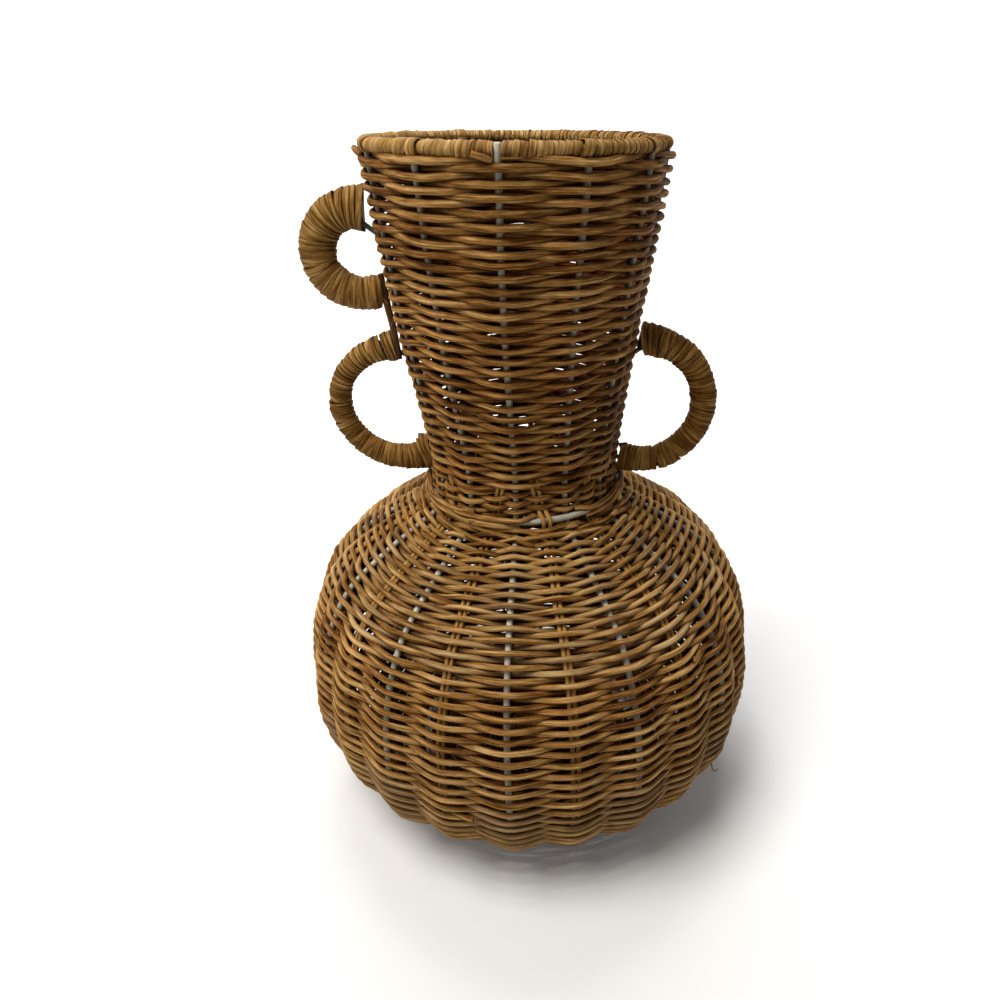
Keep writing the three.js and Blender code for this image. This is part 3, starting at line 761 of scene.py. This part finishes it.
# weaver ends that show on the outside
T = Strands()
g = np.random.default_rng(91)
S0 = S_NECK0
th = np.linspace(-12.9, -7.3, 14)
lay(T, th, np.interp(th, [-12.9, -10.0, -7.3], [3.3, 4.3, 5.6]),
    between_pts(th, [-12.9, -10.0, -7.3], [4.5, 3.9, 2.2]), np.linspace(1.35, 1.15, 14), 0.47, 0.6, g, tip=(0.9, 0.8), recess_shade=0.5)
th = np.linspace(-4.2, 2.6, 10)
lay(T, th, np.linspace(5.0, 4.6, 10), np.linspace(2.6, 3.6, 10), np.linspace(0.62, 0.28, 10), 0.42, 0.6, g, sides=6, tip=(0.8, 0.5), recess_shade=0.6)
th = np.linspace(-81.0, -70.0, 14)
u = np.linspace(0, 1, 14)
lay(T, th, S0 - 4.4 + 2.2 * u, 3.3 - 1.6 * u, 1.4, 0.42, 0.85, g, tip=(0.9, 0.8), recess_shade=0.6)
for _ in range(16):
    s0 = float(g.uniform(S_RING + 14, S_FT1 - 30))
    th0 = float(g.uniform(0, 360))
    r0 = float(wall(s0)[0])
    u = np.linspace(0, 1, 10)
    sgn = 1 if g.random() < 0.5 else -1
    th = th0 + sgn * np.degrees(g.uniform(6, 11) / r0) * u
    lay(T, th, s0 + g.uniform(-1.2, 1.2) * u, 3.9 - 2.8 * u ** 1.4, g.uniform(1.1, 1.35), g.uniform(0.35, 0.55), g.uniform(0.4, 0.9), g,
        tip=(0.9, 0.8), recess_shade=0.6)
piece(T, "weaver_ends", CORE, "weave", "neck_weave", "shoulder_weave", "belly_weave")


# ------------------------------------------------------------------ peel windings
PROFILE = np.array([[-0.5, 0.0], [-0.492, 0.70], [-0.45, 0.95], [-0.36, 1.0], [-0.27, 0.985], [-0.18, 0.96], [-0.09, 0.975], [0.0, 1.0], [0.09, 0.985],
                    [0.18, 0.96], [0.28, 0.99], [0.40, 0.96], [0.49, 0.70], [0.5, 0.0]])


def between(x, knots, vals):
    """Eased steps through vals at knots."""
    i = np.clip(np.searchsorted(knots, x, side="right") - 1, 0, len(knots) - 2)
    u = np.clip((x - knots[i]) / (knots[i + 1] - knots[i]), 0, 1)
    u = u * u * (3 - 2 * u)
    return vals[i] * (1 - u) + vals[i + 1] * u


def ribbon(T, bar, l, phi, w, t, pitch, lift, tone, hue, gen, shown=None):
    """A flat strip laid round a bar: l (m,) along it, phi (m,) round it. Every turn's rear edge lies on the turn
    before;
    shown (m,): how much of its width the next turn leaves bare, with a line of painted shade where the next turn's edge
    lies."""
    stretch = np.maximum(1 + bar["kap"](l) * bar["hn"](l) * np.cos(phi), 0.3)
    layers = np.clip(w / (pitch * stretch), 0.7, 4.0)
    m, p = len(l), len(PROFILE)
    P = np.empty((m, p, 3))
    for k, (x, y) in enumerate(PROFILE):
        lk = l + x * w / stretch
        h = lift - t * layers * (x + 0.5) - t * (1 - y)
        P[:, k] = (bar["c"](lk) + bar["n"](lk) * (np.cos(phi) * (bar["hn"](lk) + h))[:, None]
                   + bar["b"](lk) * (np.sin(phi) * (bar["hb"](lk) + h))[:, None])
    along = np.r_[0, np.cumsum(np.linalg.norm(np.diff(P[:, 3], axis=0), axis=1))] + gen.uniform(0, 9000)
    vv = np.r_[(PROFILE[:, 0] + 0.5) * w, 1.25 * w]
    tint = np.empty((m, p, 3))
    tint[..., 0], tint[..., 1] = tone[:, None], hue[:, None]
    # painted shade along both edges of the strip
    tint[..., 2] = np.clip((np.abs(PROFILE[:, 0]) * 2 - 0.84) * 3.0, 0, 0.6)[None, :]
    # painted shade: a dark line where the next turn's edge lies on this one
    if shown is not None:
        line = np.clip(shown * stretch / w, 0.1, 2.0)[:, None] - 0.5
        tint[..., 2] = np.clip(tint[..., 2] + 0.7 * np.exp(-((PROFILE[None, :, 0] - line) / 0.085) ** 2), 0, 1)
    T.rings(P, along, vv, tint, (P[0].mean(0), P[-1].mean(0)))


def wound(T, bar, start, stop, pitch, w, t, gen, tone, hue=0.42, steps=24, phi0=math.pi, lean=None, uneven=0.24, high=0.14, tilt=0.30, spread=0.075, hump=None):
    """A strip wound from start to stop along the bar in one go."""
    count = max(1, int(round((stop - start) / pitch)))
    gaps = np.clip(gen.normal(1, uneven, count), 0.5, 1.6)
    place = np.r_[0, np.cumsum(gaps)] / gaps.sum()
    q = np.linspace(0, count, count * steps + 1)
    l = start + (stop - start) * np.interp(q, np.arange(count + 1), place)
    phi = phi0 + 2 * np.pi * q
    knots = np.arange(count + 2, dtype=float)

    def per_turn(spread):
        return between(q, knots, gen.normal(0, spread, count + 2))
    l = l + per_turn(tilt) * np.cos(phi) + per_turn(tilt) * np.sin(phi)
    if lean is not None:
        l = l + lean(l, phi)
    lift = np.maximum(per_turn(high), -0.05) + 0.22 * t * np.sin(2 * phi + gen.uniform(0, 6)) * per_turn(0.5)
    if hump is not None:
        lift = lift + hump(l, phi)
    steps_tone = np.clip(tone + gen.normal(0, spread, count + 2), 0.08, 0.92)
    k = np.clip(np.floor(q).astype(int), 0, count)
    shown = np.full_like(l, (stop - start) / count)
    shown[:-steps] = l[steps:] - l[:-steps]
    ribbon(T, bar, l, phi, w, t, (stop - start) / count, lift, steps_tone[k], np.clip(hue + gen.normal(0, 0.07, count + 2), 0.05, 0.95)[k], gen, shown)


# the rim: a winding that runs over every rib top but the front one, and the strips that tie the ribs in
RIM_C, RIM_Z = 64.85, 348.6
PER_DEG = 2 * np.pi * RIM_C / 360.0


def rim_c(l):
    th = l / PER_DEG
    return at(th, np.full_like(th, RIM_C), np.full_like(th, RIM_Z))


def rim_swell(l):
    """The winding stands out where a rib top lies under it."""
    d = (l / PER_DEG - RIB_FIRST + 15.0) % 30.0 - 15.0
    return 4.0 + 0.75 * np.exp(-(d * PER_DEG / 3.4) ** 2)


RIM = dict(c=rim_c, n=lambda l: out_dir(l / PER_DEG, np.ones_like(l), np.zeros_like(l)),
           b=lambda l: np.stack([0 * l, 0 * l, 1 + 0 * l], -1), hn=rim_swell, hb=lambda l: np.full_like(l, 3.25),
           kap=lambda l: np.full_like(l, 1 / RIM_C))
g = np.random.default_rng(777)
T = Strands()
# stretches of winding: bearing of both ends, less a little in mm
RIM_RUNS = [(0, WIRE_R + 0.9, 1, -1.4), (1, 0.6, 2, -0.4), (2, -1.4, 4, 2.0), (4, 0.8, 7, 1.2), (7, 0.0, 10, 0.4), (10, -1.4, 11, -5.6), (11, 2.0, 12, -WIRE_R - 0.9)]
for k0, d0, k1, d1 in RIM_RUNS:
    wound(T, RIM, (RIB_FIRST + 30.0 * k0) * PER_DEG + d0 + 1.8 * (k0 not in (0,)), (RIB_FIRST + 30.0 * k1) * PER_DEG + d1 - 1.8 * (k1 not in (12,)),
          g.uniform(2.2, 2.6), 3.6, 0.40, g, g.uniform(0.57, 0.63), hue=0.36, steps=20, high=0.24, uneven=0.33, tilt=0.24, spread=0.045)
# the ties: rib, shift along the rim, slant, lift, width
TIES = [(11, -6.2, 1.0, 0.75, 4.6), (11, -2.9, 2.7, 1.00, 4.0), (11, 0.9, 0.2, 1.30, 4.4), (1, -1.2, 1.6, 0.90, 4.8), (2, 0.0, -0.6, 0.55, 4.2), (4, 1.2, 0.8, 0.7, 4.4),
        (5, 0.4, -1.2, 0.6, 4.4), (7, 0.6, 0.8, 0.7, 4.2), (8, -0.6, 1.4, 0.6, 4.4), (10, -0.4, -0.5, 0.6, 4.2)]
for k, shift, slant, lift, wide in TIES:
    phi = np.linspace(-np.pi, np.pi, 41)
    l = (RIB_FIRST + 30.0 * k) * PER_DEG + shift + slant * np.sin(phi) + 0.35 * np.sin(2 * phi + g.uniform(0, 6))
    ribbon(T, RIM, l, phi, wide, 0.40, 9.0, np.full_like(l, 0.35) + (lift - 0.35) * np.maximum(np.cos(phi), 0) + 0.12 * np.cos(phi) ** 2,
           np.full_like(l, g.uniform(0.56, 0.64)), np.full_like(l, 0.40), g)
piece(T, "rim_winding", PEEL, "peel", "rim_wrap")

# handles: loops in the plane of the side ribs, (radius, z) as in the frame, with the section's half size along the loop
HANDLES = {
    "left_upper_handle": dict(deg=RIB_FIRST - 90, depth=7.6, tone=0.47, hue=0.46, seed=21, skew=(2.3, 0.6), hump=(2.3, 0.3), slot=None, lead=0.0, tail=0.0, pad=1.6,
        path=[[72.9, 322.8], [78.4, 322.3], [83.9, 321.0], [90.6, 316.9], [95.5, 309.8], [97.0, 302.0], [96.0, 295.0], [91.9, 289.2], [86.0, 285.0], [78.0, 282.9], [68.3, 283.3]],
        thick=[10.2, 10.0, 9.5, 9.4, 9.4, 9.3, 9.2, 9.0, 8.6, 8.3, 8.4],
        core=[[64.6, 309.0], [72.9, 315.2], [78.4, 320.0], [83.9, 320.6], [90.6, 316.7], [95.5, 309.8], [97.0, 302.0], [96.0, 295.0], [91.9, 289.2], [86.0, 285.0], [78.0, 282.9], [69.3, 283.3], [59.9, 283.6]]),
    "left_lower_handle": dict(deg=RIB_FIRST - 90, depth=6.0, tone=0.45, hue=0.50, seed=22, skew=(-0.1, 1.8), hump=(1.2, 8.0), slot=(4.4, -0.9), lead=2.1, tail=1.8, pad=5.6,
        path=[[66.6, 256.8], [72.6, 255.0], [79.4, 252.2], [86.6, 247.0], [92.8, 239.5], [95.9, 230.0], [95.8, 220.0], [91.6, 210.3], [84.4, 202.2], [74.8, 197.0], [64.0, 195.4], [50.6, 196.0]],
        thick=[7.3, 6.9, 6.3, 6.1, 6.0, 6.1, 6.4, 6.5, 6.6, 6.9, 7.0, 7.6],
        core=[[56.0, 250.9], [66.9, 254.8], [72.6, 254.6], [79.4, 252.2], [86.6, 247.0], [92.8, 239.5], [95.9, 230.0], [95.8, 220.0], [91.6, 210.3], [84.4, 202.2], [74.8, 197.0], [64.0, 195.4], [54.6, 196.0], [47.8, 196.6]]),
    "right_handle": dict(deg=RIB_FIRST + 90, depth=6.3, tone=0.38, hue=0.66, seed=23, skew=(3.5, 0.3), hump=(0.3, 1.4), slot=None, lead=0.7, tail=1.0, pad=-3.4,
        path=[[62.9, 259.6], [68.2, 258.2], [75.6, 255.4], [82.6, 250.2], [88.0, 243.0], [91.4, 233.5], [91.7, 222.5], [88.3, 212.2], [81.4, 203.4], [72.6, 197.3], [63.0, 195.5], [50.6, 196.0]],
        thick=[8.2, 7.9, 7.3, 7.1, 6.8, 6.7, 6.7, 6.7, 6.8, 7.0, 7.0, 7.4],
        core=[[56.4, 253.1], [63.2, 257.4], [68.2, 257.6], [75.6, 255.2], [82.6, 250.2], [88.0, 243.0], [91.4, 233.5], [91.7, 222.5], [88.3, 212.2], [81.4, 203.4], [72.6, 197.3], [63.0, 195.5], [54.2, 196.0], [47.8, 196.6]]),
}


def plane_axes(deg):
    t = math.radians(deg)
    return np.array([math.sin(t), -math.cos(t), 0.0]), np.array([math.cos(t), math.sin(t), 0.0])


def loop_bar(h):
    """The handle as a bar: its centre line in its plane, outward and sideways directions, half sizes and bend."""
    er, ey = plane_axes(h["deg"])
    ez = np.array([0, 0, 1.0])
    p = catmull(np.array(h["path"], float), 16)
    d = np.r_[0, np.cumsum(np.hypot(*np.diff(p, axis=0).T))]
    L = float(d[-1])
    ls = np.linspace(0, L, 400)
    k = np.ones(21) / 21
    pr, pz = (np.convolve(np.pad(np.interp(ls, d, p[:, i]), 10, mode="reflect", reflect_type="odd"), k, "valid") for i in (0, 1))
    tr, tz = np.gradient(pr, ls), np.gradient(pz, ls)
    q = np.hypot(tr, tz)
    tr, tz = tr / q, tz / q
    kap = np.abs(np.gradient(np.unwrap(np.arctan2(tz, tr)), ls))
    nr, nz = -tz, tr
    if ((pr - pr.mean() + 6) * nr + (pz - pz.mean()) * nz).mean() < 0:
        nr, nz = -nr, -nz
    sq = np.r_[0, np.cumsum(np.hypot(*np.diff(np.array(h["path"]), axis=0).T))]
    tl, tv = sq / sq[-1] * L, np.array(h["thick"], float)

    def c(l):
        lc = np.clip(l, 0, L)
        return ((np.interp(lc, ls, pr) + (l - lc) * np.interp(lc, ls, tr))[:, None] * er
                + (np.interp(lc, ls, pz) + (l - lc) * np.interp(lc, ls, tz))[:, None] * ez)
    return dict(c=c, n=lambda l: np.interp(l, ls, nr)[:, None] * er + np.interp(l, ls, nz)[:, None] * ez,
                b=lambda l: np.ones(len(l))[:, None] * ey, hn=lambda l: np.interp(l, tl, tv), hb=lambda l: np.full(len(l), h["depth"]),
                kap=lambda l: np.interp(l, ls, kap)), L, er, ey


for name, h in HANDLES.items():
    g = np.random.default_rng(h["seed"])
    bar, L, er, ey = loop_bar(h)
    front = 1.0 if ey[1] < 0 else -1.0
    W = 4.6
    s0n, s1n = h["skew"]

    def lean(l, phi, L=L, front=front, s0n=s0n, s1n=s1n):   # the end turns lie askew along the neck, their front edge nearer to it
        a, b = np.exp(-(l / 13.0) ** 2), np.exp(-((L - l) / 13.0) ** 2)
        return front * 2.0 * (b - a) * np.sin(phi) + (s1n * b - s0n * a) * np.cos(phi)

    def hump(l, phi, L=L, up=h["hump"]):   # the first and last turns stand up on the inner side
        return np.maximum(-np.cos(phi), 0) ** 2 * (up[0] * np.exp(-(l / 3.6) ** 2) + up[1] * np.exp(-((L - l) / 4.8) ** 2))
    T = Strands()
    kw = dict(hue=h["hue"], steps=30, lean=lean, uneven=0.28, high=0.20, tilt=0.40, spread=0.045, hump=hump)
    first = W * 0.5 - 1.9 - h["lead"]
    if h["slot"]:       # a gap shows in the winding after its first few turns
        wound(T, bar, first, first + h["slot"][0], 2.3, 3.6, 0.5, g, h["tone"], phi0=math.pi, **kw)
        first += h["slot"][0] + 3.6 * 0.5 + h["slot"][1] + W * 0.5
    wound(T, bar, first, L - W * 0.5 + 1.2 + h["tail"], 2.6, W, 0.55, g, h["tone"], phi0=0.0 if h["slot"] else math.pi, **kw)
    piece(T, name + "_winding", PEEL, "peel", name + "_wrap")
    # padding under the winding, seen between turns and at the ends
    T = Strands()
    lp = np.linspace(h["pad"], L - 1.6, 70)
    T.tube(bar["c"](lp), np.full(len(lp), h["depth"] - 1.5), bar["n"](lp), sides=18, tint=(0.35, 0.5, 0.5),
           squash=(bar["hn"](lp) - 2.0) / (h["depth"] - 1.5))
    piece(T, name + "_padding", DARK, "peel", name + "_wrap")
    # the wire through it
    c = catmull(np.array(h["core"], float), 8)
    T = Strands()
    T.tube(c[:, :1] * er + c[:, 1:] * np.array([0, 0, 1.0]), 1.25, ey, sides=12, tint=(0.3, 0.5, 0.3), u0=33.0)
    piece(T, name + "_wire", WIRE_DIM, "wire", name + "_core")

er, ey = plane_axes(RIB_FIRST - 90)
c = catmull(np.array([[66.5, 292.5], [65.1, 284.0], [64.0, 276.0], [62.7, 268.0], [61.1, 250.8]], float), 10)
T = Strands()
# the strut lies on the front side of the handle wires, a strip of peel bound along it
T.tube(c[:, :1] * er + 3.4 * ey + c[:, 1:] * np.array([0, 0, 1.0]), np.linspace(1.5, 1.2, len(c)), ey, sides=12, tint=(0.40, 0.5, 0.0), u0=12.0, far_side_shade=0.5)
T.tube((c[8:, :1] + 1.25) * er + 4.0 * ey + c[8:, 1:] * np.array([0, 0, 1.0]), np.linspace(0.95, 0.8, len(c) - 8), ey, sides=10, tint=(0.86, 0.5, 0.0), u0=812.0, far_side_shade=0.5)
piece(T, "left_handle_strut_rod", DARK, "wire", "left_handle_strut")

# ------------------------------------------------------------------ stray fibres
T = Strands()
g = np.random.default_rng(313)


def fibre(theta, s, off, length, up, side, curl):
    r, z, nr, nz = wall(np.array([s]))
    p0 = at(np.array([theta]), r + nr * off, z + nz * off)[0]
    o = out_dir(np.array([theta]), nr, nz)[0]
    t = math.radians(theta)
    e = np.array([math.cos(t), math.sin(t), 0.0])
    u = np.linspace(0, 1, 8)[:, None]
    pts = p0 + u * length * (o * 0.6 + e * side + np.array([0, 0, up])) + (u ** 2) * curl * length * (e * up - o * 0.3 + np.array([0, 0, -side]))
    T.tube(pts, np.linspace(0.16, 0.07, 8), o, sides=5, tint=(g.uniform(0.2, 0.6), 0.5, 0.0), u0=g.uniform(0, 500))


for _ in range(38):
    low = g.random() < 0.45
    s = g.uniform(10, S_RING - 10) if not low else g.uniform(S_RING + 10, S_FT1 - 20)
    fibre(g.uniform(0, 360), s, 4.0, g.uniform(1.2, 3.2), g.normal(0, 0.6), g.normal(0, 0.9), g.normal(0, 0.6))
for th in (-78, -60, 31, 47, 66, 120, 175, 230):
    fibre(th, 1.0, 1.5, g.uniform(2.0, 4.5), g.uniform(0.4, 1.0), g.normal(0, 0.5), g.normal(0, 0.5))
hook = catmull(np.array([[95.6, -74.9, 48.4], [96.6, -75.0, 44.6], [97.3, -75.2, 41.2], [98.2, -75.4, 39.9], [99.3, -75.6, 40.5], [99.8, -75.7, 42.2]]), 6)
T.tube(hook, np.linspace(0.30, 0.20, len(hook)), np.array([0.3, -0.9, 0.2]), sides=6, tint=(0.10, 0.5, 0.55), u0=70.0)
piece(T, "stray_fibres", STAKE, "weave", "neck_weave", "shoulder_weave", "belly_weave")

# ------------------------------------------------------------------ floor, light, camera
def stage_floor():
    n, prof = 96, []
    for r, z in [(0.0, 0.0), (0.6, 0.0), (1.4, 0.0), (2.2, 0.0)]:
        prof.append((r, z))
    for a in np.linspace(0, math.pi / 2, 10)[1:]:
        prof.append((2.2 + 0.8 * math.sin(a), 0.8 - 0.8 * math.cos(a)))
    prof.append((3.0, 2.6))
    verts, faces = [(0, 0, 0)], []
    for r, z in prof[1:]:
        for i in range(n):
            t = 2 * math.pi * i / n
            verts.append((r * math.cos(t), r * math.sin(t), z))
    for i in range(n):
        faces.append((0, 1 + i, 1 + (i + 1) % n))
    for k in range(len(prof) - 2):
        for i in range(n):
            a, b = 1 + k * n + i, 1 + k * n + (i + 1) % n
            faces.append((a, a + n, b + n, b))
    me = bpy.data.meshes.new("floor")
    me.from_pydata(verts, [], faces)
    for p in me.polygons:
        p.use_smooth = True
    me.update()
    mat, nt, bsdf = nodes_of("floor_paper")
    bsdf.inputs["Base Color"].default_value = (0.68, 0.68, 0.68, 1)
    bsdf.inputs["Roughness"].default_value = 0.9
    bsdf.inputs["Specular IOR Level"].default_value = 0.1
    me.materials.append(mat)
    ob = bpy.data.objects.new("floor", me)
    bpy.context.scene.collection.objects.link(ob)
    return ob


stage_floor()


def area(name, loc, target, size, power, colour=(1, 1, 1)):
    d = bpy.data.lights.new(name, "AREA")
    d.shape = "DISK"
    d.size = size
    d.energy = power
    d.color = colour
    o = bpy.data.objects.new(name, d)
    o.location = loc
    o.rotation_euler = (Vector(target) - Vector(loc)).to_track_quat("-Z", "Y").to_euler()
    bpy.context.scene.collection.objects.link(o)
    return o


area("key", (-0.50, -0.36, 1.45), (0, 0, 0.2), 0.80, 25.0, (1.0, 0.97, 0.92))
area("side", (-1.25, -0.55, 0.75), (0, 0, 0.2), 0.80, 3.5, (1.0, 0.98, 0.95))
area("back", (0.0, 0.9, 2.1), (0, 2.6, 0.5), 1.4, 95.0, (1.0, 0.99, 0.98))
world = bpy.data.worlds.new("studio")
world.use_nodes = True
bg = world.node_tree.nodes["Background"]
bg.inputs["Color"].default_value = (1.0, 1.0, 1.0, 1)
bg.inputs["Strength"].default_value = 0.225
bpy.context.scene.world = world
bpy.context.scene.view_settings.view_transform = "Standard"

cam = bpy.data.cameras.new("camera")
cam.sensor_fit = "HORIZONTAL"
cam.sensor_width = 36.0
cam.lens = 36.0 * 762.9 / 1000.0
cam.shift_x = -0.0252
cam.clip_start = 0.01
co = bpy.data.objects.new("camera", cam)
co.matrix_world = (Matrix.Translation((0, -0.3736, 0.352 + 0.0114)) @ Matrix.Rotation(math.radians(90 - 27.43), 4, "X")
                   @ Matrix.Rotation(math.radians(-1.62), 4, "Z"))
bpy.context.scene.collection.objects.link(co)
bpy.context.scene.camera = co
